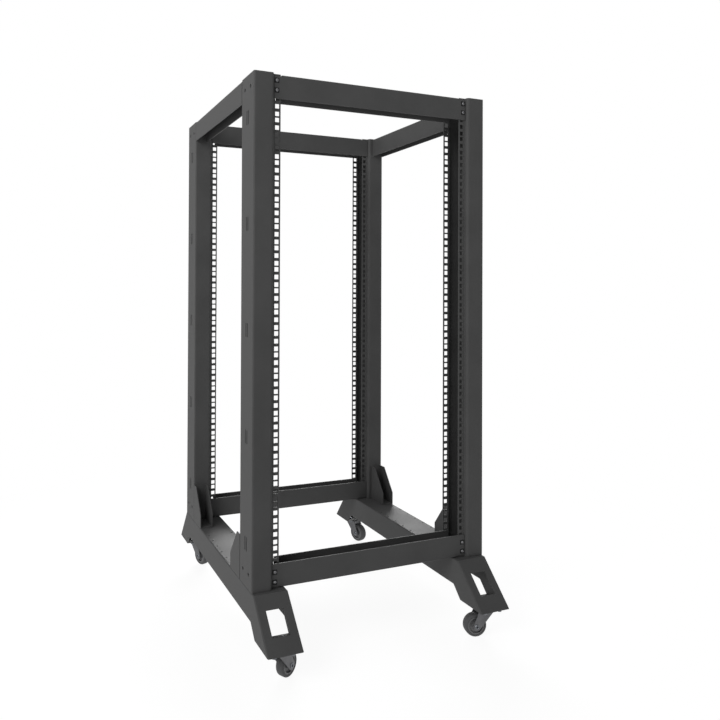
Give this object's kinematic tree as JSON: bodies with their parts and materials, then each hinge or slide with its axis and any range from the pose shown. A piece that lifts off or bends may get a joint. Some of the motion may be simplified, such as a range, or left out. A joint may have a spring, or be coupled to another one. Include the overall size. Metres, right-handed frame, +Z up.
{
  "type": "four post open frame rack",
  "caption": "Open frame equipment rack: folded steel posts with square mounting holes on both edges, cross and side beams, braced base rails with sloping feet, swivel casters.",
  "frame": {"origin": "the floor point under the middle of the four posts", "axes": "+X to the rack's right seen from its front, +Y to its rear, +Z up"},
  "size_m": [0.575, 0.68, 1.2193],
  "materials": {
    "frame_powder_coat": "fine textured charcoal black powder coat, satin",
    "caster_steel": "dark coated pressed steel",
    "axle_steel": "zinc plated",
    "wheel_nylon": "dark grey nylon",
    "tyre_rubber": "dark grey solid rubber"
  },
  "bodies": {
    "frame": {"post_front_left": "frame_powder_coat", "post_front_right": "frame_powder_coat", "post_rear_left": "frame_powder_coat", "post_rear_right": "frame_powder_coat", "bottom_beam_front": "frame_powder_coat", "bottom_beam_rear": "frame_powder_coat", "top_beam_front": "frame_powder_coat", "top_beam_rear": "frame_powder_coat", "side_beam_left": "frame_powder_coat", "side_beam_right": "frame_powder_coat", "base_rail_left": "frame_powder_coat", "base_rail_right": "frame_powder_coat", "gusset_front_left": "frame_powder_coat", "gusset_front_right": "frame_powder_coat", "gusset_rear_left": "frame_powder_coat", "gusset_rear_right": "frame_powder_coat", "caster_plate_front_left": "caster_steel", "caster_plate_front_right": "caster_steel", "caster_plate_rear_left": "caster_steel", "caster_plate_rear_right": "caster_steel"},
    "fork_front_left": {"caster_fork_front_left": "caster_steel", "caster_axle_front_left": "axle_steel"},
    "wheel_front_left": {"caster_wheel_front_left": "wheel_nylon", "caster_tyre_front_left": "tyre_rubber"},
    "fork_front_right": {"caster_fork_front_right": "caster_steel", "caster_axle_front_right": "axle_steel"},
    "wheel_front_right": {"caster_wheel_front_right": "wheel_nylon", "caster_tyre_front_right": "tyre_rubber"},
    "fork_rear_left": {"caster_fork_rear_left": "caster_steel", "caster_axle_rear_left": "axle_steel"},
    "wheel_rear_left": {"caster_wheel_rear_left": "wheel_nylon", "caster_tyre_rear_left": "tyre_rubber"},
    "fork_rear_right": {"caster_fork_rear_right": "caster_steel", "caster_axle_rear_right": "axle_steel"},
    "wheel_rear_right": {"caster_wheel_rear_right": "wheel_nylon", "caster_tyre_rear_right": "tyre_rubber"}
  },
  "joints": [
    {"name": "swivel_front_left", "type": "hinge", "parent": "frame", "child": "fork_front_left", "pos_m": [-0.24925, -0.3165, 0.058], "axis": [0, 0, 1], "continuous": true},
    {"name": "roll_front_left", "type": "hinge", "parent": "fork_front_left", "child": "wheel_front_left", "pos_m": [-0.22847, -0.3045, 0.025], "axis": [0.5, -0.866, 0], "continuous": true},
    {"name": "swivel_front_right", "type": "hinge", "parent": "frame", "child": "fork_front_right", "pos_m": [0.24925, -0.3165, 0.058], "axis": [0, 0, 1], "continuous": true},
    {"name": "roll_front_right", "type": "hinge", "parent": "fork_front_right", "child": "wheel_front_right", "pos_m": [0.22596, -0.31069, 0.025], "axis": [0.2419, 0.9703, 0], "continuous": true},
    {"name": "swivel_rear_left", "type": "hinge", "parent": "frame", "child": "fork_rear_left", "pos_m": [-0.24925, 0.2905, 0.058], "axis": [0, 0, 1], "continuous": true},
    {"name": "roll_rear_left", "type": "hinge", "parent": "fork_rear_left", "child": "wheel_rear_left", "pos_m": [-0.24104, 0.26795, 0.025], "axis": [-0.9397, -0.342, 0], "continuous": true},
    {"name": "swivel_rear_right", "type": "hinge", "parent": "frame", "child": "fork_rear_right", "pos_m": [0.24925, 0.2905, 0.058], "axis": [0, 0, 1], "continuous": true},
    {"name": "roll_rear_right", "type": "hinge", "parent": "fork_rear_right", "child": "wheel_rear_right", "pos_m": [0.25667, 0.26767, 0.025], "axis": [-0.9511, -0.309, 0], "continuous": true}
  ]
}
